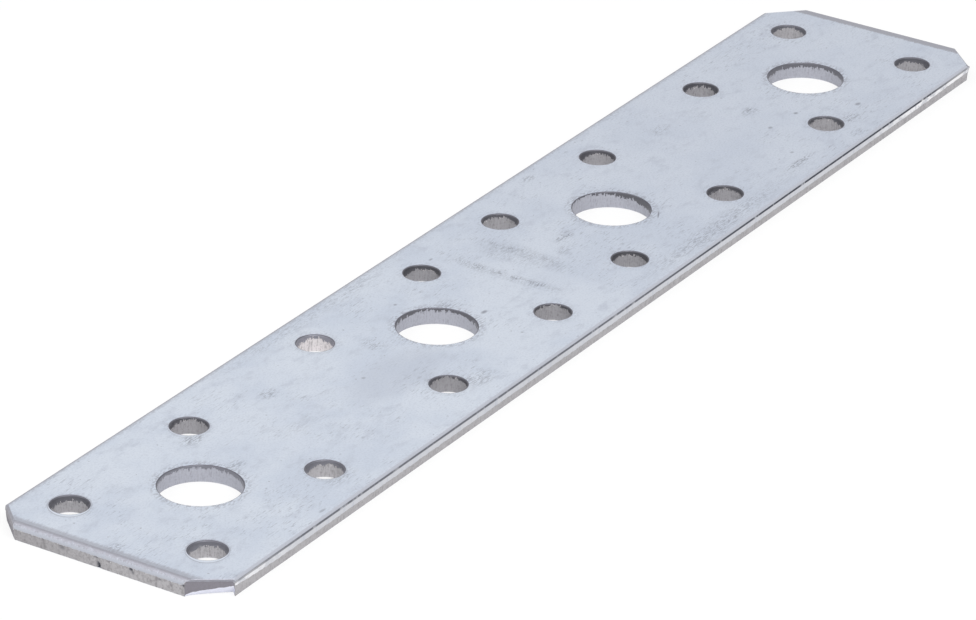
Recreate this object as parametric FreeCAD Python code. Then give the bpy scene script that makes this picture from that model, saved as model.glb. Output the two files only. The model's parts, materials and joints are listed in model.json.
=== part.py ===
import FreeCAD, Part
import os

V = FreeCAD.Vector
UP = V(0, 0, 1)
HAIR = 1e-4                # what counts as the same place, in mm

# The plate. Its length lies along X, its width along Y, and Z is up.
# The middle of its underside is at 0, 0, 0.
plate_length = 200.0
plate_width = 35.0
plate_thickness = 2.5

# The cuts across the corners: how much each takes of the length and the width.
# Near is the low X end, left is the high Y side. The shear left them unequal.
near_left_cut_length = 3.7
near_left_cut_width = 4.0
near_right_cut_length = 3.6
near_right_cut_width = 5.1
far_right_cut_length = 4.8
far_right_cut_width = 4.9
far_left_cut_length = 5.4
far_left_cut_width = 5.3

# The sheared outline. The shear rolls the top edge over, leaves a burnished
# wall below it and breaks the rest away, leaning in a little.
wide_roll = 0.85           # radius of the roll along the short ends and the left edge
narrow_roll = 0.4          # radius of the roll along the right edge and corner cuts
break_height = 1.05        # height of the broken zone above the underside
break_lean = 0.10          # how far the broken zone leans in at the underside

# The screw holes stand in two rows, one beside each long edge.
screw_hole_d = 5.0
screw_lip = 0.12           # lip that the punch draws down around the mouth
screw_land = 1.20          # height of the burnished wall under the lip
screw_flare = 0.12         # how much wider the broken wall is at the underside
side_margin = 7.0          # long edge to the centres of a row
end_margin = 8.6           # short end to the outermost holes, with the pattern in the middle
pattern_offset = 0.85      # how far the punched pattern stands towards the low X end
middle_spacing = 20.1      # between the two holes of a row beside the middle
pair_spacing = 26.1        # between the holes of a row on both sides of a bolt hole

# The bolt holes stand on the centre line, each among four screw holes.
bolt_hole_d = 11.0
bolt_lip = 0.15
bolt_land = 0.85
bolt_flare = 0.20
bolt_offset = 0.5          # how much nearer the middle than its four screw holes


def corners():
    """The eight corners of the outline, anticlockwise from the far right cut."""
    x, y = plate_length / 2, plate_width / 2
    return [
        (x, far_right_cut_width - y),
        (x, y - far_left_cut_width),
        (x - far_left_cut_length, y),
        (near_left_cut_length - x, y),
        (-x, y - near_left_cut_width),
        (-x, near_right_cut_width - y),
        (near_right_cut_length - x, -y),
        (x - far_right_cut_length, -y),
    ]


def outline(inset, z):
    """The plate's eight-sided outline at a height, drawn in by an inset."""
    points = [V(x, y, z) for x, y in corners()]
    inward = []
    for i in range(8):
        way = points[(i + 1) % 8] - points[i]
        inward.append(UP.cross(way.normalize()))
    drawn = []
    for i, point in enumerate(points):
        # both sides that meet at this corner move in by the inset
        meeting = inward[i - 1] + inward[i]
        drawn.append(point + meeting * (inset / (1 + inward[i - 1].dot(inward[i]))))
    return Part.makePolygon(drawn + drawn[:1])


def rolled(solid, radius, wide):
    """Round the top edges: those with the wide roll, or all the others."""
    edges = []
    for edge in solid.Edges:
        box = edge.BoundBox
        on_top = box.ZMin > plate_thickness - HAIR
        at_end = box.XLength < HAIR
        at_left = box.YLength < HAIR and box.YMin > 0
        if on_top and (at_end or at_left) == wide:
            edges.append(edge)
    return solid.makeFillet(radius, edges)


def sheet():
    """The blank as the shear leaves it, before the holes are punched."""
    broken = Part.makeLoft([outline(break_lean, 0), outline(0, break_height)], True, True)
    clean = Part.Face(outline(0, break_height)).extrude(UP * (plate_thickness - break_height))
    blank = broken.fuse(clean).removeSplitter().Solids[0]
    return rolled(rolled(blank, wide_roll, True), narrow_roll, False)


def punch(diameter, lip, land, flare):
    """The room that one punched hole takes: lip, burnished land, broken cone."""
    r, top = diameter / 2, plate_thickness
    past = plate_thickness      # how far it runs past both faces
    wall = [
        V(0, 0, top + past),
        V(r + lip, 0, top + past),
        V(r + lip, 0, top),
        V(r, 0, top - lip),
        V(r, 0, top - lip - land),
        V(r + flare, 0, 0),
        V(r + flare, 0, -past),
        V(0, 0, -past),
    ]
    return Part.Face(Part.makePolygon(wall + wall[:1])).revolve(V(0, 0, 0), UP, 360)


def screw_stations():
    """How far the screw holes of a row stand from the middle, on each half."""
    outer = plate_length / 2 - end_margin
    inner = middle_spacing / 2
    return [inner, inner + pair_spacing, outer - pair_spacing, outer]


def bolt_stations():
    """How far the bolt holes stand from the middle, on each half."""
    a, b, c, d = screw_stations()
    return [(a + b) / 2 - bolt_offset, (c + d) / 2 - bolt_offset]


def punches():
    screw = punch(screw_hole_d, screw_lip, screw_land, screw_flare)
    bolt = punch(bolt_hole_d, bolt_lip, bolt_land, bolt_flare)
    row = plate_width / 2 - side_margin
    placed = []
    for half in (-1, 1):
        for x in screw_stations():
            placed += [screw.translated(V(half * x, side * row, 0)) for side in (-1, 1)]
        for x in bolt_stations():
            placed.append(bolt.translated(V(half * x, 0, 0)))
    return [tool.translated(V(-pattern_offset, 0, 0)) for tool in placed]


plate = sheet().cut(punches()).Solids[0]

os.makedirs("parts", exist_ok=True)
plate.exportStep("parts/plate.step")
print("plate valid", plate.isValid(), "faces", len(plate.Faces), "volume mm3", round(plate.Volume, 1))
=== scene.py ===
import json
import math

import bpy
from mathutils import Matrix, Vector


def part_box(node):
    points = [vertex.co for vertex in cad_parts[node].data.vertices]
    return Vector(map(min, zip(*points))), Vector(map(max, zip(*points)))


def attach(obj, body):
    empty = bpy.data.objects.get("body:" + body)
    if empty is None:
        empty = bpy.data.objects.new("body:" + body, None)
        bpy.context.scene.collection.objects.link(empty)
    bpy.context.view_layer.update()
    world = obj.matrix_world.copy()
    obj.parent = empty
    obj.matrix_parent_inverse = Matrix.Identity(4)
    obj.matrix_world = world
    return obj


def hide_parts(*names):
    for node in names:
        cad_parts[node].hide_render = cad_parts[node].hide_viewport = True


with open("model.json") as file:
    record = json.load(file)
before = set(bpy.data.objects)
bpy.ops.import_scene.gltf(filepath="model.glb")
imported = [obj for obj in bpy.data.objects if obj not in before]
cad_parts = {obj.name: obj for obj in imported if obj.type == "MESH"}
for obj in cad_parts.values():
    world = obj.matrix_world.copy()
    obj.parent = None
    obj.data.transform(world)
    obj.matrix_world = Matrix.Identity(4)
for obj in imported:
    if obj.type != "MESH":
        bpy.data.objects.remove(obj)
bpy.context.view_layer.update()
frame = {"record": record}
mm = 0.001
lowest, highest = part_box("plate")
plateLength, plateWidth, plateThickness = ((b - a) / mm for a, b in zip(lowest, highest))


def nodeIn(tree, kind, inputs=None, **settings):
    # one node with its settings, each input either linked or set
    node = tree.nodes.new(kind)
    for name, value in settings.items():
        setattr(node, name, value)
    for key, value in (inputs or {}).items():
        socket = node.inputs[key]
        if isinstance(value, bpy.types.NodeSocket):
            tree.links.new(value, socket)
        else:
            socket.default_value = value
    return node


def calc(tree, operation, *values):
    return nodeIn(tree, "ShaderNodeMath", dict(enumerate(values)), operation=operation).outputs[0]


def chained(tree, operation, values):
    total = values[0]
    for value in values[1:]:
        total = calc(tree, operation, total, value)
    return total


def times(tree, *values):
    return chained(tree, "MULTIPLY", values)


def plus(tree, *values):
    return chained(tree, "ADD", values)


def largest(tree, *values):
    return chained(tree, "MAXIMUM", values)


def minus(tree, first, second):
    return calc(tree, "SUBTRACT", first, second)


def remap(tree, value, low, high, toLow=0.0, toHigh=1.0, soft=True):
    inputs = {"Value": value, "From Min": low, "From Max": high, "To Min": toLow, "To Max": toHigh}
    kind = "SMOOTHSTEP" if soft else "LINEAR"
    return nodeIn(tree, "ShaderNodeMapRange", inputs, interpolation_type=kind).outputs[0]


def vectorCalc(tree, operation, inputs, output=0):
    return nodeIn(tree, "ShaderNodeVectorMath", inputs, operation=operation).outputs[output]


def stretched(tree, vector, factors):
    return vectorCalc(tree, "MULTIPLY", {0: vector, 1: factors})


def inMillimetres(tree, place):
    return vectorCalc(tree, "SCALE", {0: place, "Scale": 1.0 / mm})


def noiseAt(tree, vector, scale, detail=2.0, roughness=0.5, stretch=None):
    if stretch:
        vector = stretched(tree, vector, stretch)
    inputs = {"Vector": vector, "Scale": scale, "Detail": detail, "Roughness": roughness}
    return nodeIn(tree, "ShaderNodeTexNoise", inputs, noise_dimensions="3D").outputs[0]


# the camera stands where the photograph was taken, in mm and degrees
cameraSetup = {
    "aim": (-15.41, -3.01, 2.5),     # the point of the face in the middle of the picture
    "distance": 762.6,
    "heading": 31.56,                # from +X towards +Y
    "lookDown": 26.08,
    "roll": 1.45,
    "sensor": 36.0,
    "lens": 209.3,
}


def makeCamera():
    heading, lookDown, roll = (math.radians(cameraSetup[k]) for k in ("heading", "lookDown", "roll"))
    forward = Vector((
        math.cos(heading) * math.cos(lookDown),
        math.sin(heading) * math.cos(lookDown),
        -math.sin(lookDown),
    ))
    level = forward.cross(Vector((0, 0, 1))).normalized()
    upright = level.cross(forward)
    right = level * math.cos(roll) + upright * math.sin(roll)
    up = right.cross(forward)
    place = (Vector(cameraSetup["aim"]) - forward * cameraSetup["distance"]) * mm
    data = bpy.data.cameras.new("camera")
    data.sensor_width = cameraSetup["sensor"]
    data.sensor_fit = "HORIZONTAL"
    data.lens = cameraSetup["lens"]
    data.clip_start = 0.01
    camera = bpy.data.objects.new("camera", data)
    turned = Matrix((right, up, -forward)).transposed().to_4x4()
    camera.matrix_world = Matrix.Translation(place) @ turned
    bpy.context.scene.collection.objects.link(camera)
    bpy.context.scene.camera = camera


# the outline, in mm, the same sizes as the solid's. Near is the low X end and
# left the high Y side; each corner cut takes so much of the length and the width
outlineShape = {
    "farLeft": (5.4, 5.3),
    "nearLeft": (3.7, 4.0),
    "nearRight": (3.6, 5.1),
    "farRight": (4.8, 4.9),
    "breakDepth": 1.45,      # where the broken zone starts to lean in, below the face
    "breakLean": 0.10,
    "band": 0.9,             # flat rim between the roll and the filled face
    "fineStep": 0.2,         # spacing of columns at the ends and corner cuts
    "longStep": 0.40,        # spacing of columns along the long edges
    # the groove under the right edge's roll, which reads as a dark line of painted shade
    "grooveDepth": 0.47,
    "grooveReach": 0.09,
    "grooveSpread": 0.08,
    # the right edge's land runs out towards its corners: by how much, from how far
    # off the end and over what length
    "nearRunOut": (0.5, 3.5, 5.0),
    "farRunOut": (0.3, 4.5, 14.0),
    # the near right cut tore from below, most at the long edge
    "tearDepth": 1.0,
    "tearReach": 1.2,
    "tearSpread": 0.5,       # how fast the tear widens from the end
    # the underside's rim starts so far from the near end and fans out, per column
    "rimStart": 5.8,
    "rimFan": 0.05,
    # the far right cut left a thin burr on the long edge
    "burrDepth": 0.5,
    "burrReach": 0.45,
    "burrSpread": 0.22,
    # dents in the near end, none above a depth, each with painted shade that darkens the deeper
    # it is: where along it and how far below the face, how wide, how tall and how deep
    "dentsBelow": 0.8,
    "dentShade": 5,
    "dents": (
        (0.6, 2.15, 0.16, 0.42, 0.40), (0.9, 1.10, 0.30, 0.10, 0.14), (-4.3, 1.22, 0.22, 0.20, 0.26),
        (-4.6, 1.60, 0.18, 0.25, 0.14), (-12.2, 0.98, 0.22, 0.16, 0.24), (6.1, 1.35, 0.45, 0.30, 0.10),
        (-8.6, 1.25, 0.30, 0.15, 0.12),
    ),
}

# the eight sides, anticlockwise from the far end, with how each was cut
sideKinds = {
    "farEnd": "end", "farLeft": "cut", "left": "left", "nearLeft": "cut",
    "nearEnd": "end", "nearRight": "torn", "right": "right", "farRight": "cut",
}

# shear looks per kind of edge, in mm: radius of the roll, depth of the land under
# the face, how ragged its lower line is, how far the broken wall steps back and
# how rough it is
shearLooks = {
    "end": {"code": 1.0, "roll": 0.85, "land": 0.95, "ragged": 0.10, "step": 0.02, "rough": 0.15},
    "left": {"code": 2.0, "roll": 0.85, "land": 1.40, "ragged": 0.12, "step": 0.03, "rough": 0.06},
    "right": {"code": 3.0, "roll": 0.4, "land": 1.42, "ragged": 0.07, "step": 0.05, "rough": 0.05},
    "cut": {"code": 4.0, "roll": 0.4, "land": 1.30, "ragged": 0.20, "step": 0.03, "rough": 0.08},
    "torn": {"code": 5.0, "roll": 0.12, "land": 0.35, "ragged": 0.12, "step": 0.03, "rough": 0.12},
    "screw": {"code": 6.0, "land": 0.50, "ragged": 0.36, "step": 0.05, "rough": 0.07},
    "bolt": {"code": 7.0, "land": 0.26, "ragged": 0.42, "step": 0.02, "rough": 0.04},
}

# the two punched holes, in mm and degrees: the shape of the wall, the flat rims
# around the mouth that carry the smudged zinc, the two opposite sides where the
# land, and with it its painted dark reflection, runs deeper and by how much, and
# the side that faces the near right corner
holeShapes = {
    "screw": {"columns": 72, "lip": 0.18, "land": 1.20, "flare": 0.12, "rims": (0.35, 0.8, 1.4),
              "deepSide": -58, "deeper": 0.55, "front": -149},
    "bolt": {"columns": 132, "lip": 0.15, "land": 0.85, "flare": 0.20, "rims": (0.4, 0.9, 1.6),
             "deepSide": -52, "deeper": 0.30, "front": -149},
}

# how each hole of a row differs, by its number from the near end: how much
# deeper its land runs, how pale its wall is, how strong the painted highlight on the
# front of its lip is and how much deeper the land runs towards its deep side than away from it
holeRows = {
    "screw_hole_left": (
        (0.22, 0.2, 1.0, -0.2), (-0.12, 0.1, 0.4, -0.2), (0.05, 0.8, 0.3, 0.0), (0.08, 0.0, 0.0, -0.1),
        (-0.02, 0.15, 0.0, 0.1), (0.12, 0.1, 0.0, -0.25), (0.16, 0.05, 0.0, 0.0), (-0.08, 0.3, 0.0, 0.0),
    ),
    "screw_hole_right": (
        (0.26, 0.45, 1.0, -0.1), (0.16, 0.5, 0.3, -0.25), (-0.25, 0.05, 0.2, 0.0), (-0.25, 0.05, 0.0, 0.1),
        (0.08, 0.0, 0.0, 0.0), (0.08, 0.05, 0.0, -0.15), (-0.12, 0.15, 0.0, 0.15), (0.2, 0.2, 0.0, 0.15),
    ),
    "bolt_hole": (
        (0.12, 0.45, 0.0, 0.1), (0.12, 0.1, 0.0, 0.0), (0.12, 0.05, 0.0, 0.5), (0.36, 0.2, 0.0, -0.1),
    ),
}

# the levels of a wall, in mm: the rows over a roll, the step below it, the ease
# at the foot and the flat rim round a hole on the underside. An edge that bends
# by more than creaseAngle, in radians, is not smoothed
rollRows = (0.004, 0.014, 0.03, 0.055, 0.09, 0.14, 0.2, 0.27, 0.34, 0.42, 0.5, 0.6, 0.72, 0.85)
wallStep = 0.12
bottomEase = 0.02
underRim = 0.4
creaseAngle = 0.75

holeKinds = ("screw", "bolt")
looksNames = (
    "wallDepth", "landDepth", "ragged", "breakStep", "breakRough", "edgeKind", "rimBand", "tear", "dent",
    "front", "side",
)
loopNames = ("topLoop", "bottomLoop", "holeKind")
moodNames = ("moreLand", "paleLand", "lipHighlight", "sideLand")
landNames = ("wallDepth", "landDepth", "ragged", "side", "moreLand", "sideLand")


def wallRows(start):
    # evenly spaced depths from the end of the roll to just above the underside
    reach = plateThickness - start
    count = round(reach / wallStep)
    return [start + reach * i / count for i in range(1, count)] + [plateThickness - bottomEase]


def bell(distance, spread):
    return math.exp(-(distance / spread) ** 2)


def rollInset(depth, radius):
    if depth >= radius:
        return 0.0
    return radius - math.sqrt(radius ** 2 - (radius - depth) ** 2)


def outlineSides():
    # the sides in order: name, kind, outward angle, distance from the middle, columns
    x, y, cuts = plateLength / 2, plateWidth / 2, outlineShape
    corners = [
        (x, cuts["farRight"][1] - y), (x, y - cuts["farLeft"][1]),
        (x - cuts["farLeft"][0], y), (cuts["nearLeft"][0] - x, y),
        (-x, y - cuts["nearLeft"][1]), (-x, cuts["nearRight"][1] - y),
        (cuts["nearRight"][0] - x, -y), (x - cuts["farRight"][0], -y),
    ]
    sides = []
    for i, (name, kind) in enumerate(sideKinds.items()):
        start, stop = Vector(corners[i]), Vector(corners[(i + 1) % 8])
        along = stop - start
        angle = math.atan2(-along.x, along.y)
        away = start.x * math.cos(angle) + start.y * math.sin(angle)
        step = cuts["longStep"] if kind in ("left", "right") else cuts["fineStep"]
        columns = round(along.length / step)
        sides.append({"name": name, "kind": kind, "angle": angle, "away": away, "columns": columns})
    return sides


def crossing(first, second):
    # the point where two sides meet, each given as outward angle and distance
    (a, p), (b, q) = first, second
    turn = math.sin(b - a)
    return Vector(((p * math.sin(b) - q * math.sin(a)) / turn, (q * math.cos(a) - p * math.cos(b)) / turn))


def sideInset(kind, depth):
    # how far a side stands in at a depth: its roll, the groove and the leaning break
    shape = outlineShape
    inset = rollInset(depth, shearLooks[kind]["roll"])
    if kind == "right":
        inset += shape["grooveReach"] * bell(depth - shape["grooveDepth"], shape["grooveSpread"])
    past = depth - shape["breakDepth"]
    if past > 0:
        inset += shape["breakLean"] * past / (plateThickness - shape["breakDepth"])
    return inset


def tearOf(kind, t, depth):
    # how far the torn cut has been pulled in, from none at the end to most at the
    # edge, and how far below its start the point is
    if kind != "torn":
        return 0.0, -1.0
    spread = t ** outlineShape["tearSpread"]
    start = plateThickness - (plateThickness - outlineShape["tearDepth"]) * spread
    below = depth - start
    reach = outlineShape["tearReach"] * spread
    return reach * max(0.0, below) / (plateThickness - start + 0.001), below


def landShift(kind, x):
    # how much deeper the land runs: less towards both corners of the right edge
    if kind != "right":
        return 0.0
    shift = 0.0
    for end, fromEnd in (("nearRunOut", plateLength / 2 + x), ("farRunOut", plateLength / 2 - x)):
        most, start, length = outlineShape[end]
        shift -= most * math.exp((start - fromEnd) / length)
    return shift


def dentAt(along, depth):
    # how deep the near end is dented there
    if not outlineShape["dentsBelow"] < depth < plateThickness:
        return 0.0
    deepest = 0.0
    for y, level, wide, tall, deep in outlineShape["dents"]:
        deepest = max(deepest, deep * bell(along - y, wide) * bell(depth - level, tall))
    return deepest


def looksOf(kind, depth, rim, tear=-1.0, dent=0.0, deeper=0.0, front=0.0, side=0.0):
    # a point's looks, in the order of looksNames
    looks = shearLooks[kind]
    steps = (looks["land"] + deeper, looks["ragged"], looks["step"], looks["rough"], looks["code"])
    return (depth, *steps, rim, tear, dent, front, side)


def outlineRing(sides, depth, extra, rim):
    # one level of the shell, drawn in by extra: its points and their looks
    shape, onWall = outlineShape, extra == 0.0
    lines = [(side["angle"], side["away"] - sideInset(side["kind"], depth) - extra) for side in sides]
    points, looks = [], []
    for i, side in enumerate(sides):
        name, kind, columns = side["name"], side["kind"], side["columns"]
        before, after = crossing(lines[i - 1], lines[i]), crossing(lines[i], lines[(i + 1) % 8])
        inward = -Vector((math.cos(side["angle"]), math.sin(side["angle"])))
        for k in range(columns):
            tear, below = tearOf(kind, k / columns, depth)
            point = before.lerp(after, k / columns) + inward * tear
            deeper = landShift(kind, point.x)
            dent = dentAt(point.y, depth) if name == "nearEnd" and onWall else 0.0
            point += inward * dent
            if name == "right" and not onWall and depth:     # keeps the rim below clear of the tear
                point.x = max(point.x, shape["rimStart"] + shape["rimFan"] * k - plateLength / 2)
            if name == "farRight" and k == 0 and onWall:
                point.x += shape["burrReach"] * bell(depth - shape["burrDepth"], shape["burrSpread"])
            points.append(point)
            # painted shade in the dent, darker the deeper it is
            shade = min(1.0, dent * shape["dentShade"])
            looks.append(looksOf(kind, depth, rim, below, shade, deeper))
    return points, looks


def shellMesh(name, rings):
    # closed strips between rings of points; each ring is (points, z, looks)
    vertices, faces, values = [], [], []
    columns = len(rings[0][0])
    for points, z, looks in rings:
        vertices += [(p.x * mm, p.y * mm, z * mm) for p in points]
        values += looks
    for r in range(len(rings) - 1):
        for c in range(columns):
            d = (c + 1) % columns
            faces.append((r * columns + c, (r + 1) * columns + c, (r + 1) * columns + d, r * columns + d))
    mesh = bpy.data.meshes.new(name)
    mesh.from_pydata(vertices, [], faces)
    last = len(rings) - 1
    loops = [(float(i // columns == 0), float(i // columns == last), 0.0) for i in range(len(vertices))]
    for names, rows in ((looksNames, values), (loopNames, loops)):
        for attribute, column in zip(names, zip(*rows)):
            mesh.attributes.new(attribute, "FLOAT", "POINT").data.foreach_set("value", column)
    return mesh


def outlineMesh():
    sides, band = outlineSides(), outlineShape["band"]
    levels = [(0.0, band)]
    levels += [(depth, 0.0) for depth in (0.0, *rollRows, *wallRows(rollRows[-1]))]
    levels += [(plateThickness, bottomEase), (plateThickness, band)]
    rings = []
    for depth, extra in levels:
        points, looks = outlineRing(sides, depth, extra, 0.0 if extra == band else 1.0)
        rings.append((points, plateThickness - depth, looks))
    return shellMesh("outlineShell", rings)


def holeMesh(kind, radius):
    # one punched wall around the origin: rims, drawn lip, land and broken cone, as
    # rows of depth, spread past the bore and rim band
    shape = holeShapes[kind]
    lip, rims, flare = shape["lip"], shape["rims"], shape["flare"]
    landEnd = lip + shape["land"]
    profile = [(0.0, lip + rim, 1 - i / len(rims)) for i, rim in reversed(list(enumerate(rims, 1)))]
    profile.append((0.0, lip, 1.0))
    for angle in range(15, 91, 15):
        a = math.radians(angle)
        profile.append((lip * (1 - math.cos(a)), lip * (1 - math.sin(a)), 2.0))
    for depth in wallRows(lip):
        past = max(0.0, depth - landEnd) / (plateThickness - landEnd)
        profile.append((depth, flare * past, 2.0))
    profile.append((plateThickness, flare + bottomEase, 2.0))
    profile.append((plateThickness, flare + underRim, 0.0))
    rings = []
    for depth, spread, rim in profile:
        points, looks = [], []
        for c in range(shape["columns"]):
            turn = -2 * math.pi * c / shape["columns"]      # the other way round, to face the hole
            points.append(Vector((math.cos(turn), math.sin(turn))) * (radius + spread))
            side = math.cos(turn - math.radians(shape["deepSide"]))
            front = max(0.0, math.cos(turn - math.radians(shape["front"])))
            deeper = side ** 2 * shape["deeper"]
            looks.append(looksOf(kind, depth, rim, deeper=deeper, front=front, side=side))
        rings.append((points, plateThickness - depth, looks))
    return shellMesh(kind + "Wall", rings)


def attributeIn(tree, name):
    return nodeIn(tree, "GeometryNodeInputNamedAttribute", {"Name": name}, data_type="FLOAT").outputs[0]


def whereIs(tree, name, target):
    inputs = {"A": attributeIn(tree, name), "B": target, "Epsilon": 0.01}
    return nodeIn(tree, "FunctionNodeCompare", inputs, data_type="FLOAT", operation="EQUAL").outputs[0]


def pointsOf(tree, geometry, code):
    # the points of the blank that are marked with a kind of hole, or with none
    split = {"Geometry": geometry, "Selection": whereIs(tree, "holeKind", code)}
    return nodeIn(tree, "GeometryNodeSeparateGeometry", split, domain="POINT").outputs["Selection"]


# what makes the lower line of a land ragged, and how strongly
raggedLine = {"waves": 2.2, "spikes": 2.4, "islands": 3.0}


def tornWall(tree, inMm, looks, soft):
    # how broken a wall is: 0 on the burnished land, 1 below its ragged lower line
    around = stretched(tree, inMm, (1.0, 1.0, 0.0))
    noises = {
        "waves": noiseAt(tree, around, 0.9, 2.0, 0.6),
        "spikes": noiseAt(tree, around, 5.0, 1.0),
        "islands": noiseAt(tree, inMm, 2.6, 3.0),
    }
    wander = plus(tree, *(times(tree, minus(tree, noises[k], 0.5), raggedLine[k]) for k in noises))
    leaning = times(tree, looks["side"], looks["sideLand"])
    line = plus(tree, looks["landDepth"], times(tree, looks["ragged"], wander), leaning, looks["moreLand"])
    return remap(tree, looks["wallDepth"], minus(tree, line, soft), plus(tree, line, soft))


def wallName(kind):
    return kind.capitalize() + " wall"


def punchedWalls(tree, given):
    # the outline, and a punched wall at every point marked with its kind of hole
    joined = tree.nodes.new("GeometryNodeJoinGeometry")
    for code, kind in enumerate(holeKinds, 1):
        marks = pointsOf(tree, given["Sheet"], float(code))
        points = nodeIn(tree, "GeometryNodeMeshToPoints", {"Mesh": marks}).outputs[0]
        wall = nodeIn(tree, "GeometryNodeObjectInfo", {"Object": given[wallName(kind)]}).outputs["Geometry"]
        copies = nodeIn(tree, "GeometryNodeInstanceOnPoints", {"Points": points, "Instance": wall}).outputs[0]
        real = nodeIn(tree, "GeometryNodeRealizeInstances", {0: copies}).outputs[0]
        tree.links.new(real, joined.inputs[0])
    tree.links.new(pointsOf(tree, given["Sheet"], 0.0), joined.inputs[0])
    return joined.outputs[0]


def filledSheet(tree, walls, thickness):
    # both faces, filled between the outline and the holes and welded to the walls
    joined = tree.nodes.new("GeometryNodeJoinGeometry")
    tree.links.new(walls, joined.inputs[0])
    lift = nodeIn(tree, "ShaderNodeCombineXYZ", {"Z": thickness}).outputs[0]
    for loopName in ("topLoop", "bottomLoop"):
        edges = {"Mesh": walls, "Selection": whereIs(tree, loopName, 1.0)}
        loops = nodeIn(tree, "GeometryNodeMeshToCurve", edges).outputs[0]
        filled = nodeIn(tree, "GeometryNodeFillCurve", {"Curve": loops}).outputs[0]
        if loopName == "topLoop":
            sheet = nodeIn(tree, "GeometryNodeSetPosition", {"Geometry": filled, "Offset": lift}).outputs[0]
        else:
            sheet = nodeIn(tree, "GeometryNodeFlipFaces", {"Mesh": filled}).outputs[0]
        tree.links.new(sheet, joined.inputs[0])
    weld = {"Geometry": joined.outputs[0], "Distance": 5e-7}
    return nodeIn(tree, "GeometryNodeMergeByDistance", weld).outputs[0]


def steppedBack(tree, sheet, streakScale):
    # the broken wall steps back from the burnished one and is streaked
    inMm = inMillimetres(tree, nodeIn(tree, "GeometryNodeInputPosition").outputs[0])
    torn = tornWall(tree, inMm, {name: attributeIn(tree, name) for name in landNames}, 0.05)
    marked = nodeIn(tree, "GeometryNodeStoreNamedAttribute", {
        "Geometry": sheet, "Name": "broken", "Value": torn,
    }, data_type="FLOAT", domain="POINT").outputs[0]
    streak = noiseAt(tree, inMm, streakScale, 3.0, 0.65, stretch=(1.0, 1.0, 0.15))
    rough = times(tree, streak, attributeIn(tree, "breakRough"))
    back = times(tree, attributeIn(tree, "broken"), plus(tree, rough, attributeIn(tree, "breakStep")), -mm)
    level = stretched(tree, nodeIn(tree, "GeometryNodeInputNormal").outputs[0], (1.0, 1.0, 0.0))
    push = {"Geometry": marked, "Offset": vectorCalc(tree, "SCALE", {0: level, "Scale": back})}
    return nodeIn(tree, "GeometryNodeSetPosition", push).outputs[0]


def punchedSheetTree():
    # repeats the punched walls over the hole points, fills both faces between the
    # walls and the outline, and tears the sheared walls
    tree = bpy.data.node_groups.new("punchedSheet", "GeometryNodeTree")
    face = tree.interface
    face.new_socket("Sheet", in_out="INPUT", socket_type="NodeSocketGeometry")
    for kind in holeKinds:
        face.new_socket(wallName(kind), in_out="INPUT", socket_type="NodeSocketObject")
    for name in ("Thickness", "Streak scale"):
        face.new_socket(name, in_out="INPUT", socket_type="NodeSocketFloat")
    face.new_socket("Finish", in_out="INPUT", socket_type="NodeSocketMaterial")
    face.new_socket("Plate", in_out="OUTPUT", socket_type="NodeSocketGeometry")
    given = tree.nodes.new("NodeGroupInput").outputs
    sheet = filledSheet(tree, punchedWalls(tree, given), given["Thickness"])
    shaped = steppedBack(tree, sheet, given["Streak scale"])
    smooth = nodeIn(tree, "GeometryNodeSetShadeSmooth", {"Geometry": shaped}).outputs[0]
    edgeAngle = tree.nodes.new("GeometryNodeInputMeshEdgeAngle").outputs[0]
    sharp = calc(tree, "GREATER_THAN", edgeAngle, creaseAngle)
    creases = {"Geometry": smooth, "Selection": sharp, "Shade Smooth": False}
    creased = nodeIn(tree, "GeometryNodeSetShadeSmooth", creases, domain="EDGE").outputs[0]
    real = nodeIn(tree, "GeometryNodeRealizeInstances", {0: creased}).outputs[0]
    finished = nodeIn(tree, "GeometryNodeSetMaterial", {"Geometry": real, "Material": given["Finish"]})
    nodeIn(tree, "NodeGroupOutput", {"Plate": finished.outputs[0]})
    return tree


def addHolePoints(mesh, holes):
    # loose vertices at the hole centres, each marked with its kind and its looks
    first = len(mesh.vertices)
    mesh.vertices.add(len(holes))
    for name in moodNames:
        mesh.attributes.new(name, "FLOAT", "POINT")
    for i, (place, values) in enumerate(holes, first):
        mesh.vertices[i].co = place
        for name, value in values.items():
            mesh.attributes[name].data[i].value = value
    mesh.update()


def punchedHoles():
    # from the record's bores: each hole's place and looks, and each kind's radius
    holes, radii = [], {}
    for mount in frame["record"]["mounts"]:
        if mount["kind"] == "bore":
            row, number = mount["name"].rsplit("_", 1)
            kind = row.split("_")[0]
            radii[kind] = mount["dims"]["r_mm"]
            values = {"holeKind": 1.0 + holeKinds.index(kind), "topLoop": 0.0, "bottomLoop": 0.0}
            values.update(zip(moodNames, holeRows[row][int(number) - 1]))
            holes.append(((*mount["pos_m"][:2], 0.0), values))
    return holes, radii


def linked(name, mesh):
    piece = bpy.data.objects.new(name, mesh)
    bpy.context.scene.collection.objects.link(piece)
    return piece


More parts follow.
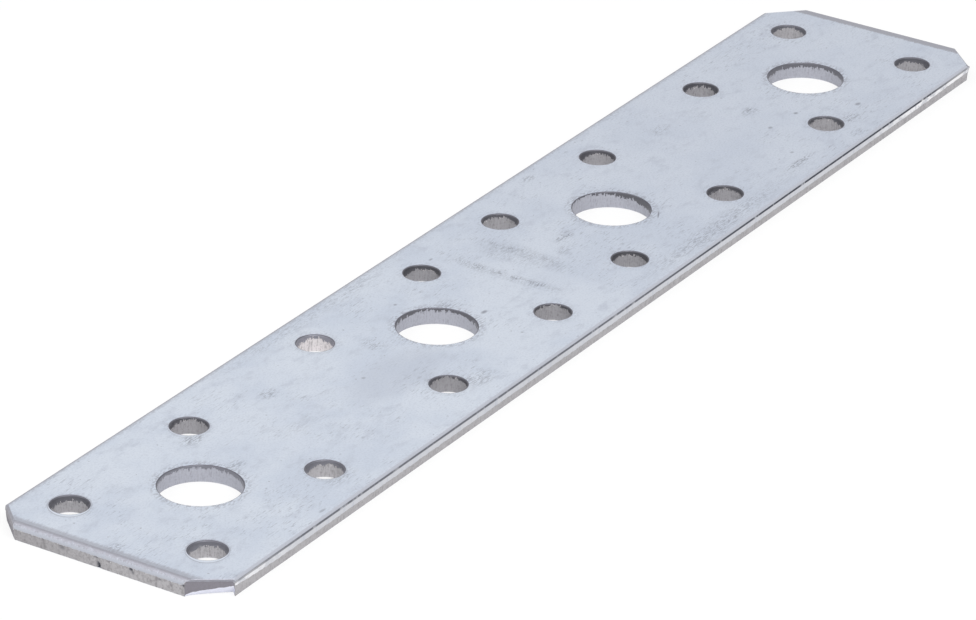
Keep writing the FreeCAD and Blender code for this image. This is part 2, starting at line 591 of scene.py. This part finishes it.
def makePlate(finish):
    holes, radii = punchedHoles()
    mesh = outlineMesh()
    addHolePoints(mesh, holes)
    blank = linked("plateBlank", mesh)
    walls = {kind: linked(kind + "Wall", holeMesh(kind, radii[kind])) for kind in holeKinds}
    settings = {"Thickness": plateThickness * mm, "Streak scale": 3.0, "Finish": finish}
    settings.update((wallName(kind), wall) for kind, wall in walls.items())
    sheetNodes = blank.modifiers.new("punchedSheet", "NODES")
    sheetNodes.node_group = punchedSheetTree()
    for socket in sheetNodes.node_group.interface.items_tree:
        if socket.in_out == "INPUT" and socket.name in settings:
            sheetNodes[socket.identifier] = settings[socket.name]
    evaluated = blank.evaluated_get(bpy.context.evaluated_depsgraph_get())
    skin = bpy.data.meshes.new_from_object(evaluated)
    skin.name = "plateSkin"
    blank.modifiers.remove(sheetNodes)
    for helper in (blank, *walls.values()):
        bpy.data.objects.remove(helper)
    for name in (*loopNames, "breakStep", "breakRough", "broken"):     # only the shaping reads these
        if name in skin.attributes:
            skin.attributes.remove(skin.attributes[name])
    triangles = sum(len(face.vertices) - 2 for face in skin.polygons)
    print("plate:", len(skin.vertices), "vertices,", triangles, "triangles")
    return linked("plateSkin", skin)


# colours of the zinc and of the sheared steel, in linear light
steelFinish = {
    "zinc": (0.535, 0.585, 0.675, 1.0),
    "zincPale": (0.60, 0.645, 0.72, 1.0),
    "zincDull": (0.44, 0.475, 0.555, 1.0),
    "smudge": (0.22, 0.22, 0.26, 1.0),
    "scratch": (0.20, 0.21, 0.25, 1.0),
    # painted shade for the bending face and for the rolls as they turn away
    "shadedZinc": (0.30, 0.30, 0.34, 1.0),
    "rolledZinc": (0.47, 0.49, 0.55, 1.0),
    # painted shade for the groove under the right edge's roll and for the dents
    "recessShade": (0.035, 0.04, 0.06, 1.0),
    "burnish": (0.60, 0.61, 0.65, 1.0),
    "broken": (0.43, 0.42, 0.435, 1.0),
    "brokenDark": (0.19, 0.18, 0.19, 1.0),
    "cutBreak": (0.22, 0.21, 0.24, 1.0),
    "torn": (0.76, 0.77, 0.86, 1.0),
    # painted highlight, for the right edge's land and the end walls
    "glint": (0.88, 0.88, 0.90, 1.0),
    # painted shade along the mouths of the holes
    "mouth": (0.13, 0.13, 0.155, 1.0),
    # painted shade: the holes' land is painted as dark as the reflection it shows, less so in the pale holes
    "holeBurnish": (0.115, 0.115, 0.13, 1.0),
    "holeBurnishPale": (0.36, 0.365, 0.42, 1.0),
    "holeBroken": (0.52, 0.51, 0.53, 1.0),
    "holeDark": (0.38, 0.375, 0.40, 1.0),
    "holePale": (0.78, 0.75, 0.76, 1.0),
    "boltBroken": (0.45, 0.46, 0.515, 1.0),
    "boltDark": (0.27, 0.265, 0.31, 1.0),
    # how strongly each pattern shows, from 0 to 1, at the near and the far end for
    # the patches and the grain
    # painted shade, darkening the face towards the far end
    "farShade": 0.4,
    "patches": (0.6, 0.85),
    "grain": (0.4, 0.7),
    "scratches": 0.42,
    "specks": 0.5,
    "edgeSmudges": 0.10,
    "screwSmudges": 0.3,
    "boltSmudges": 0.65,
    "rollStreaks": 0.4,
    "landStreaks": 0.7,
    "breakCrumbs": 0.6,
    "endBlotches": 0.6,
    # painted shade, darkening the end walls towards the left
    "endShade": 0.3,         # towards the left of the end walls
    "lipLine": 0.4,
    # the sheen
    "metallic": 0.7,
    "brokenMetallic": 0.35,
    "roughness": 0.44,
    "brokenRougher": 0.25,
    # heights of the fine relief, in mm
    "grainHeight": 0.006,
    "breakHeight": 0.06,
    "scratchDepth": 0.004,
}

# painted shade where the face bends down before an edge, in mm from it: where that starts to
# show, where it shows most and how dark it is there
bendShades = {"far": (2.3, 1.8, 0.9), "near": (1.8, 1.1, 0.6), "left": (1.3, 0.6, 0.5)}

# marks on the face, in mm. Scuffs are arcs given by their middle, radius, width
# and reach along Y; dots are plain, hatches are clusters of fine streaks and
# clouds are dull zinc, each with a place, a size and a strength
scuffs = (
    {"middle": (60.0, 0.2), "radius": 65.1, "width": 0.8, "from": -7.0, "to": 10.0, "strength": 0.8},
    {"middle": (-33.5, 3.6), "radius": 36.0, "width": 1.2, "from": -3.0, "to": 9.5, "strength": 0.7},
)
dots = (
    {"at": (-16.2, -2.9), "size": (0.7, 0.35), "strength": 0.75},
    {"at": (73.2, -10.9), "size": (0.6, 0.4), "strength": 0.7},
    {"at": (65.1, -5.1), "size": (0.45, 0.35), "strength": 0.7},
    {"at": (58.5, -4.6), "size": (0.5, 0.35), "strength": 0.6},
    {"at": (52.8, -11.4), "size": (0.4, 0.3), "strength": 0.5},
    {"at": (-41.9, -0.4), "size": (0.35, 0.3), "strength": 0.5},
    {"at": (-21.2, 8.1), "size": (0.3, 0.25), "strength": 0.6},
    {"at": (-6.6, 11.8), "size": (0.5, 0.2), "strength": 0.6},
    {"at": (-75.6, -16.4), "size": (0.8, 0.25), "strength": 0.5},
    {"at": (23.8, -6.4), "size": (1.3, 0.14), "turn": 27, "strength": 0.9},
    {"at": (67.4, -12.7), "size": (0.5, 0.25), "strength": 0.6},
)
hatches = (
    {"at": (-68.8, 8.1), "size": (2.6, 1.5), "strength": 0.55},
    {"at": (-52.8, 7.2), "size": (1.7, 1.4), "strength": 0.55},
    {"at": (-32.8, 4.1), "size": (1.7, 2.2), "strength": 0.45},
    {"at": (-98.6, -0.8), "size": (2.0, 1.1), "strength": 0.6},
    {"at": (-71.5, -0.6), "size": (1.6, 1.4), "strength": 0.45},
    {"at": (-58.8, -1.2), "size": (3.0, 1.8), "strength": 0.2},
    {"at": (-66.9, -13.4), "size": (3.6, 1.4), "strength": 0.35},
    {"at": (-33.0, -13.0), "size": (3.2, 1.9), "strength": 0.45},
    {"at": (-17.2, 2.5), "size": (1.6, 1.8), "strength": 0.4},
    {"at": (10.2, 0.7), "size": (2.6, 1.0), "strength": 0.6},
    {"at": (6.5, -1.6), "size": (2.2, 1.2), "strength": 0.35},
    {"at": (23.4, 14.8), "size": (1.6, 0.9), "strength": 0.45},
    {"at": (48.6, 8.0), "size": (2.6, 1.3), "strength": 0.4},
    {"at": (61.8, 0.7), "size": (1.7, 1.2), "strength": 0.65},
    {"at": (68.5, -12.4), "size": (2.2, 1.6), "strength": 0.5},
    {"at": (64.4, -15.7), "size": (1.7, 0.9), "strength": 0.6},
    {"at": (50.6, -14.0), "size": (4.6, 0.9), "strength": 0.6},
    {"at": (25.0, -15.2), "size": (22.0, 1.9), "strength": 0.4},
    {"at": (-30.0, 15.5), "size": (26.0, 1.3), "strength": 0.25},
    {"at": (1.5, 3.0), "size": (3.4, 6.5), "strength": 0.25},
)
clouds = (
    {"at": (-38.5, -3.4), "size": (10.5, 4.6), "strength": 0.4},
    {"at": (46.0, 0.5), "size": (13.0, 8.5), "strength": 0.3},
    {"at": (92.0, -4.0), "size": (10.0, 9.0), "strength": 0.15},
)


def blend(tree, share, first, second):
    inputs = {"Factor": share, "A": first, "B": second}
    return nodeIn(tree, "ShaderNodeMix", inputs, data_type="RGBA").outputs["Result"]


def blendValue(tree, share, first, second):
    return remap(tree, share, 0.0, 1.0, first, second, soft=False)


def markAt(tree, inMm, mark, inner, outer):
    # full strength well inside a mark, none past its rim
    nearby = nodeIn(tree, "ShaderNodeMapping", {
        "Vector": inMm, "Location": (*mark["at"], plateThickness),
        "Rotation": (0.0, 0.0, math.radians(mark.get("turn", 0))), "Scale": (*mark["size"], 1.0),
    }, vector_type="TEXTURE").outputs[0]
    reach = vectorCalc(tree, "LENGTH", {0: nearby}, "Value")
    return remap(tree, reach, inner, outer, mark["strength"], 0.0)


def strongest(tree, inMm, marks, inner, outer):
    return largest(tree, *(markAt(tree, inMm, mark, inner, outer) for mark in marks))


def steelFields(tree):
    # what the finish reads, by name: the place in mm, the wall's looks, how far the
    # point is on each kind of edge, and the patterns that several parts share
    inMm = inMillimetres(tree, nodeIn(tree, "ShaderNodeTexCoord").outputs["Object"])
    at = {"inMm": inMm}
    at["x"], at["y"], at["z"] = nodeIn(tree, "ShaderNodeSeparateXYZ", {0: inMm}).outputs
    for name in (*landNames, "paleLand", "lipHighlight", "edgeKind", "rimBand", "tear", "dent", "front"):
        at[name] = nodeIn(tree, "ShaderNodeAttribute", attribute_name=name).outputs["Fac"]
    for kind, looks in shearLooks.items():
        at["on" + kind.capitalize()] = calc(tree, "COMPARE", at["edgeKind"], looks["code"], 0.3)
    at["inHole"] = plus(tree, at["onScrew"], at["onBolt"])
    at["onCorner"] = plus(tree, at["onCut"], at["onTorn"])
    at["upper"] = calc(tree, "GREATER_THAN", at["z"], 1.0)     # keeps the marks off the underside

    at["grain"] = noiseAt(tree, inMm, 4.0, 2.0, 0.7, stretch=(0.7, 1.0, 1.0))
    at["dabs"] = noiseAt(tree, inMm, 1.9, 3.0, 0.7, stretch=(0.8, 2.0, 1.0))
    at["uneven"] = times(tree, minus(tree, at["dabs"], 0.5), 1.2)
    at["streaks"] = noiseAt(tree, inMm, 2.2, 4.0, 0.7, stretch=(1.0, 1.0, 0.12))
    lengthways = noiseAt(tree, inMm, 1.2, 3.0, 0.65, stretch=(0.5, 3.6, 1.0))
    zones = remap(tree, noiseAt(tree, inMm, 0.12, 3.0, 0.6), 0.48, 0.62)
    at["scratched"] = times(tree, remap(tree, lengthways, 0.56, 0.64), zones)
    ribs = noiseAt(tree, inMm, 7.0, 2.0, 0.7, stretch=(1.0, 1.0, 0.08))
    crumbs = noiseAt(tree, inMm, 3.2, 4.0, 0.7)
    at["rough"] = remap(tree, blendValue(tree, at["onEnd"], 0.5, 0.85), 0.0, 1.0, ribs, crumbs, soft=False)
    return at


def scuffMarks(tree, at):
    # the arcs, broken up into patches of fine hairs
    total = 0.0
    for scuff in scuffs:
        x, y = scuff["middle"]
        away = vectorCalc(tree, "SUBTRACT", {0: at["inMm"], 1: (x, y, plateThickness)})
        reach = vectorCalc(tree, "LENGTH", {0: away}, "Value")
        off = calc(tree, "ABSOLUTE", minus(tree, reach, scuff["radius"]))
        near = remap(tree, off, 0.0, scuff["width"] * 2.0, 1.0, 0.0)
        after = remap(tree, at["y"], scuff["from"] - 3.0, scuff["from"] + 2.0)
        until = remap(tree, at["y"], scuff["to"] - 3.0, scuff["to"] + 1.0, 1.0, 0.0)
        half = calc(tree, "GREATER_THAN" if x < 0 else "LESS_THAN", at["x"], x)     # one half of the circle
        total = plus(tree, total, times(tree, after, until, near, half, at["upper"], scuff["strength"]))
    patches = remap(tree, noiseAt(tree, at["inMm"], 0.7, 2.0), 0.35, 0.6, 0.35, 1.0)
    hairs = noiseAt(tree, at["inMm"], 1.7, 2.0, 0.7, stretch=(1.0, 4.5, 1.0))
    return times(tree, total, patches, remap(tree, hairs, 0.42, 0.62))


def faceMarks(tree, at):
    # how much the scuffs, hatches and dots darken the face
    streaks = noiseAt(tree, at["inMm"], 1.3, 3.0, 0.8, stretch=(0.8, 3.6, 1.0))
    hatched = strongest(tree, at["inMm"], hatches, 0.2, 1.25)
    hatched = times(tree, hatched, remap(tree, streaks, 0.49, 0.57), 1.35)
    return largest(tree, scuffMarks(tree, at), hatched, strongest(tree, at["inMm"], dots, 0.35, 1.25))


def rimSmudge(tree, at):
    # dabs round the holes, most round the bolt holes, and a few along the edges
    look, codes = steelFinish, {kind: looks["code"] for kind, looks in shearLooks.items()}
    aroundHole = remap(tree, at["edgeKind"], codes["torn"] - 0.5, codes["torn"] + 0.5)
    screw, bolt = look["screwSmudges"], look["boltSmudges"]
    aroundBolt = remap(tree, at["edgeKind"], codes["screw"] + 0.3, codes["bolt"] - 0.3, screw, bolt)
    rim = remap(tree, at["rimBand"], 0.0, 1.0, soft=False)
    strength = blendValue(tree, aroundHole, look["edgeSmudges"], aroundBolt)
    return times(tree, rim, remap(tree, at["dabs"], 0.48, 0.56), strength)


def bendShade(tree, at):
    # painted shade where the face starts to bend before both ends and the left edge
    halfLength, halfWidth = plateLength / 2, plateWidth / 2
    reaches = {
        "far": (plus(tree, at["x"], at["uneven"]), halfLength),
        "near": (minus(tree, at["uneven"], at["x"]), halfLength),
        "left": (plus(tree, at["y"], at["uneven"]), halfWidth),
    }
    bends = []
    for name, (reach, edge) in reaches.items():
        start, full, dark = bendShades[name]
        bends.append(remap(tree, reach, edge - start, edge - full, 0.0, dark))
    return times(tree, largest(tree, *bends), at["upper"])


def zincColour(tree, at):
    # clouds of two sizes, a fine grain, scratches along the length, smudges and marks, with painted shade
    # towards the far end and the bends and a painted highlight on a few lips
    look, inMm = steelFinish, at["inMm"]
    cloud = noiseAt(tree, inMm, 0.09, 5.0, 0.62, stretch=(0.75, 1.0, 1.0))
    zinc = blend(tree, remap(tree, cloud, 0.38, 0.66), look["zincPale"], look["zinc"])
    # painted shade towards the far end, joined with the dull clouds
    farShade = remap(tree, at["x"], -50.0, 60.0, 0.0, look["farShade"])
    dullAndShaded = largest(tree, farShade, strongest(tree, inMm, clouds, 0.6, 1.2))
    zinc = blend(tree, dullAndShaded, zinc, look["zincDull"])
    far = remap(tree, at["x"], -20.0, 50.0)
    patch = noiseAt(tree, inMm, 0.55, 4.0, 0.7, stretch=(0.55, 1.0, 1.0))
    patched = remap(tree, patch, 0.50, 0.74, 0.0, blendValue(tree, far, *look["patches"]))
    zinc = blend(tree, patched, zinc, look["zincDull"])
    grained = remap(tree, at["grain"], 0.45, 0.75, 0.0, blendValue(tree, far, *look["grain"]))
    zinc = blend(tree, grained, zinc, look["zincDull"])
    zinc = blend(tree, times(tree, at["scratched"], look["scratches"]), zinc, look["scratch"])
    specks = remap(tree, noiseAt(tree, inMm, 1.6, 1.0), 0.74, 0.78, 0.0, look["specks"])
    zinc = blend(tree, specks, zinc, look["smudge"])
    zinc = blend(tree, rimSmudge(tree, at), zinc, look["smudge"])
    zinc = blend(tree, faceMarks(tree, at), zinc, look["scratch"])
    # painted shade where the face bends towards an edge
    zinc = blend(tree, bendShade(tree, at), zinc, look["shadedZinc"])
    # a few lips carry a painted highlight in front, with a fine line outside
    lipReach = plus(tree, at["rimBand"], times(tree, at["front"], at["front"], 0.42))
    lipLine = times(tree, remap(tree, lipReach, 0.80, 0.88), at["lipHighlight"])
    zinc = blend(tree, times(tree, lipLine, look["lipLine"]), zinc, look["smudge"])
    return blend(tree, times(tree, remap(tree, lipReach, 0.94, 1.02), lipLine), zinc, look["zincPale"])


def rollColour(tree, at):
    # rolls turn from painted shade to pale, but at the far end and the left edge stay in painted
    # shade, and the right one is pale all over
    look = steelFinish
    farEnd = times(tree, at["onEnd"], calc(tree, "GREATER_THAN", at["x"], 0.0))
    turned = remap(tree, plus(tree, at["wallDepth"], times(tree, at["uneven"], 0.5)), 0.24, 0.54)
    turned = times(tree, turned, minus(tree, 1.0, plus(tree, farEnd, at["onLeft"])))
    rolled = blend(tree, turned, look["shadedZinc"], look["rolledZinc"])
    streaked = remap(tree, at["streaks"], 0.5, 0.75, 0.0, look["rollStreaks"])
    rolled = blend(tree, streaked, rolled, look["zincDull"])
    return blend(tree, at["onRight"], rolled, look["rolledZinc"])


def grooveShade(tree, at):
    # painted shade: the broken dark line in the right edge's groove, faint towards its ends
    depth, x = at["wallDepth"], at["x"]
    inside = times(tree, remap(tree, depth, 0.26, 0.36), remap(tree, depth, 0.58, 0.70, 1.0, 0.0))
    patches = noiseAt(tree, at["inMm"], 0.5, 3.0, 0.7, stretch=(1.0, 0.2, 0.2))
    gaps = remap(tree, patches, 0.30, 0.45, 0.35, 1.0)
    along = times(tree, remap(tree, x, -97.0, -78.0, 0.5, 0.78), remap(tree, x, -10.0, 40.0, 1.0, 1.25))
    return times(tree, inside, gaps, at["onRight"], along, remap(tree, x, 80.0, 96.0, 1.0, 0.55))


def landColour(tree, at):
    # the burnished land, with a painted highlight on the right edge near both of its ends
    look = steelFinish
    streaked = remap(tree, at["streaks"], 0.45, 0.8, 0.0, look["landStreaks"])
    burnish = blend(tree, streaked, look["burnish"], look["zincDull"])
    lumps = noiseAt(tree, at["inMm"], 0.45, 3.0, 0.7, stretch=(1.0, 1.0, 1.6))
    nearEnds = largest(tree, remap(tree, at["x"], 58.0, 84.0), remap(tree, at["x"], -96.0, -80.0, 0.8, 0.0))
    paintedShine = times(tree, nearEnds, remap(tree, lumps, 0.42, 0.56), at["onRight"])
    burnish = blend(tree, paintedShine, burnish, look["glint"])
    # painted shade: the holes' land carries the dark reflection it shows
    holeLand = blend(tree, at["paleLand"], look["holeBurnish"], look["holeBurnishPale"])
    land = blend(tree, at["inHole"], burnish, holeLand)
    return blend(tree, at["onCorner"], land, look["cutBreak"])


def brokenColour(tree, at):
    # the broken wall, by kind of edge, with darker crumbs and ribs
    look, inMm, pale = steelFinish, at["inMm"], at["paleLand"]
    inScrew = blend(tree, remap(tree, pale, 0.0, 0.45, soft=False), look["holeDark"], look["holeBroken"])
    inScrew = blend(tree, remap(tree, pale, 0.6, 0.8), inScrew, look["holePale"])
    broken = blend(tree, at["onScrew"], look["broken"], inScrew)
    broken = blend(tree, at["onBolt"], broken, look["boltBroken"])
    broken = blend(tree, at["onCorner"], broken, look["cutBreak"])
    deepest = blend(tree, at["onBolt"], look["brokenDark"], look["boltDark"])
    broken = blend(tree, remap(tree, at["rough"], 0.46, 0.66, 0.0, look["breakCrumbs"]), broken, deepest)
    # the end walls are blotched, with painted shade towards the left and painted glints under the roll
    blotch = remap(tree, noiseAt(tree, inMm, 1.4, 3.0, 0.7, stretch=(1.0, 1.0, 0.5)), 0.5, 0.7)
    broken = blend(tree, times(tree, blotch, at["onEnd"], look["endBlotches"]), broken, look["brokenDark"])
    leftShade = times(tree, at["onEnd"], remap(tree, at["y"], -6.0, 14.0, 0.0, look["endShade"]))
    broken = blend(tree, leftShade, broken, look["brokenDark"])
    endGlints = remap(tree, noiseAt(tree, inMm, 2.0, 3.0, 0.7), 0.62, 0.70)
    underRoll = remap(tree, at["wallDepth"], 1.15, 1.25, 1.0, 0.0)
    broken = blend(tree, times(tree, at["onEnd"], underRoll, endGlints), broken, look["glint"])
    # painted shade in the dents of the near end
    broken = blend(tree, at["dent"], broken, look["recessShade"])
    # painted glints along the ragged line in the screw holes
    fringe = tornWall(tree, inMm, at, 0.16)
    fleckGlints = remap(tree, noiseAt(tree, inMm, 3.0, 2.0, 0.7, stretch=(1.0, 1.0, 0.4)), 0.48, 0.56)
    fringe = times(tree, fringe, minus(tree, 1.0, fringe), 4.0, fleckGlints, at["onScrew"])
    return blend(tree, fringe, broken, look["holePale"])


def wallColour(tree, at, torn):
    # burnished land above, broken below, and the pale open tear
    wall = blend(tree, torn, landColour(tree, at), brokenColour(tree, at))
    waves = times(tree, minus(tree, noiseAt(tree, at["inMm"], 0.9, 3.0, 0.6), 0.5), 0.45)
    opened = remap(tree, plus(tree, at["tear"], waves), -0.02, 0.06)
    return blend(tree, opened, wall, steelFinish["torn"])


def makeSteel():
    material = bpy.data.materials.new("zincCoatedSteel")
    material.use_nodes = True
    tree = material.node_tree
    tree.nodes.clear()
    look, at = steelFinish, steelFields(tree)
    depth, inHole = at["wallDepth"], at["inHole"]

    # from the face over the roll or the lip to the wall
    torn = tornWall(tree, at["inMm"], at, 0.03)
    rollStart, rollEnd = blendValue(tree, at["onEnd"], 0.32, 0.86), blendValue(tree, at["onEnd"], 0.42, 0.95)
    pastRoll = largest(tree, remap(tree, depth, rollStart, rollEnd), inHole)
    edge = blend(tree, pastRoll, rollColour(tree, at), wallColour(tree, at, torn))
    # painted shade: the dark line in the right edge's groove
    edge = blend(tree, grooveShade(tree, at), edge, look["recessShade"])
    # painted shade along the top of each hole's wall
    edge = blend(tree, times(tree, inHole, remap(tree, depth, 0.05, 0.12, 1.0, 0.0)), edge, look["mouth"])
    offFace = largest(tree, remap(tree, depth, 0.0, 0.04), remap(tree, at["rimBand"], 1.0, 1.4))
    offFace = times(tree, offFace, remap(tree, at["z"], 0.002, 0.015))     # the underside is coated too
    colour = blend(tree, offFace, zincColour(tree, at), edge)

    # the broken walls are matt, the land and the zinc have a soft sheen
    onBroken = times(tree, torn, pastRoll, offFace)
    metallic = blendValue(tree, onBroken, look["metallic"], look["brokenMetallic"])
    grainy = remap(tree, at["grain"], 0.3, 0.8, look["roughness"] - 0.06, look["roughness"] + 0.1)
    roughness = plus(tree, grainy, times(tree, onBroken, look["brokenRougher"]))
    onFace = minus(tree, 1.0, offFace)
    height = plus(tree, times(tree, at["grain"], onFace, look["grainHeight"]),
                  times(tree, at["rough"], onBroken, look["breakHeight"]))
    height = minus(tree, height, times(tree, at["scratched"], look["scratchDepth"]))
    relief = {"Height": times(tree, height, mm), "Strength": 1.0, "Distance": 1.0}
    shader = nodeIn(tree, "ShaderNodeBsdfPrincipled", {
        "Base Color": colour, "Metallic": metallic, "Roughness": roughness,
        "Normal": nodeIn(tree, "ShaderNodeBump", relief).outputs[0],
    })
    nodeIn(tree, "ShaderNodeOutputMaterial", {"Surface": shader.outputs[0]})
    return material


def seenAsWhite(tree):
    # 1 for the rays that show the background, straight or in metal and glass
    path = tree.nodes.new("ShaderNodeLightPath").outputs
    return largest(tree, path["Is Camera Ray"], path["Is Glossy Ray"], path["Is Transmission Ray"])


# the floor: half its side in metres, how far it lies under the plate in mm, its
# own colour and how much of it the camera sees as plain white
floorSetup = {"half": 3.0, "drop": 0.02, "colour": (0.9, 0.9, 0.9, 1.0), "whiteShare": 0.8}


def makeFloor():
    mesh = bpy.data.meshes.new("floor")
    half, low = floorSetup["half"], -floorSetup["drop"] * mm
    corners = [(-half, -half, low), (half, -half, low), (half, half, low), (-half, half, low)]
    mesh.from_pydata(corners, [], [(0, 1, 2, 3)])
    floor = linked("floor", mesh)
    material = bpy.data.materials.new("paleFloor")
    material.use_nodes = True
    tree = material.node_tree
    tree.nodes.clear()
    matt = nodeIn(tree, "ShaderNodeBsdfDiffuse", {"Color": floorSetup["colour"]}).outputs[0]
    glow = nodeIn(tree, "ShaderNodeEmission", {"Color": (1.0, 1.0, 1.0, 1.0), "Strength": 1.0}).outputs[0]
    share = times(tree, seenAsWhite(tree), floorSetup["whiteShare"])
    mixed = nodeIn(tree, "ShaderNodeMixShader", {0: share, 1: matt, 2: glow}).outputs[0]
    nodeIn(tree, "ShaderNodeOutputMaterial", {"Surface": mixed})
    mesh.materials.append(material)


# soft lamps, in metres and watts, and the light from all round
lampSetup = {
    "key": {"place": (-0.5, -0.6, 0.85), "size": 0.9, "power": 8.5},
    "fill": {"place": (-0.7, 0.5, 0.9), "size": 0.8, "power": 3.0},
}
worldLight = 0.68


def makeLight():
    for name, lamp in lampSetup.items():
        data = bpy.data.lights.new(name, "AREA")
        data.shape = "SQUARE"
        data.size = lamp["size"]
        data.energy = lamp["power"]
        light = bpy.data.objects.new(name, data)
        light.location = lamp["place"]
        light.rotation_euler = Vector(lamp["place"]).to_track_quat("Z", "Y").to_euler()
        bpy.context.scene.collection.objects.link(light)
    world = bpy.data.worlds.new("studio")
    world.use_nodes = True
    tree = world.node_tree
    tree.nodes.clear()
    strength = blendValue(tree, seenAsWhite(tree), worldLight, 1.0)
    sky = nodeIn(tree, "ShaderNodeBackground", {"Color": (1.0, 1.0, 1.0, 1.0), "Strength": strength})
    nodeIn(tree, "ShaderNodeOutputWorld", {"Surface": sky.outputs[0]})
    bpy.context.scene.world = world


makeCamera()
print("camera placed")
makeFloor()
makeLight()
print("floor and light made")
steel = makeSteel()
print("zinc and sheared steel made")
plate = makePlate(steel)
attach(plate, "root")
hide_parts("plate")
print("plate dressed")
bpy.context.scene.view_settings.view_transform = "Standard"
